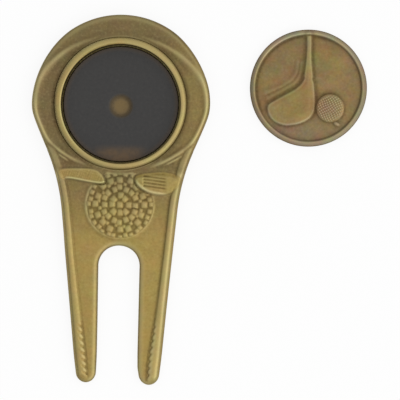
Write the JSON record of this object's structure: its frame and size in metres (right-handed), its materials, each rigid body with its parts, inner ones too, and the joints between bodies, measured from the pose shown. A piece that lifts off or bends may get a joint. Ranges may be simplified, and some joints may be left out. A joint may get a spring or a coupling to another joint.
{
  "type": "divot repair tool",
  "caption": "Flat cast two-prong turf fork with a round head, a magnetic recess and a loose coin-like ball marker that sits in it.",
  "frame": {"origin": "on the flat back of the fork, under the centre of the marker's seat", "axes": "+Z out of the face, +Y from the prongs towards the head, +X to the right seen on the face, where the loose marker lies"},
  "size_m": [0.0715, 0.079, 0.0039],
  "materials": {
    "antique_brass": "antique, dark in the recesses and worn bright on the edges",
    "magnet_glue": "dull",
    "bonded_magnet": "matt",
    "plated_steel": "antique brass plating"
  },
  "bodies": {
    "tool": {"fork_body": "antique_brass", "magnet_glue": "magnet_glue", "magnet": "bonded_magnet"},
    "marker": {"ball_marker": "plated_steel"}
  },
  "joints": [
    {"name": "marker_lift", "type": "slide", "parent": "tool", "child": "marker", "axis": [-0.8909, -0.0891, 0.4454], "range_m": [0, 0.0449]}
  ]
}
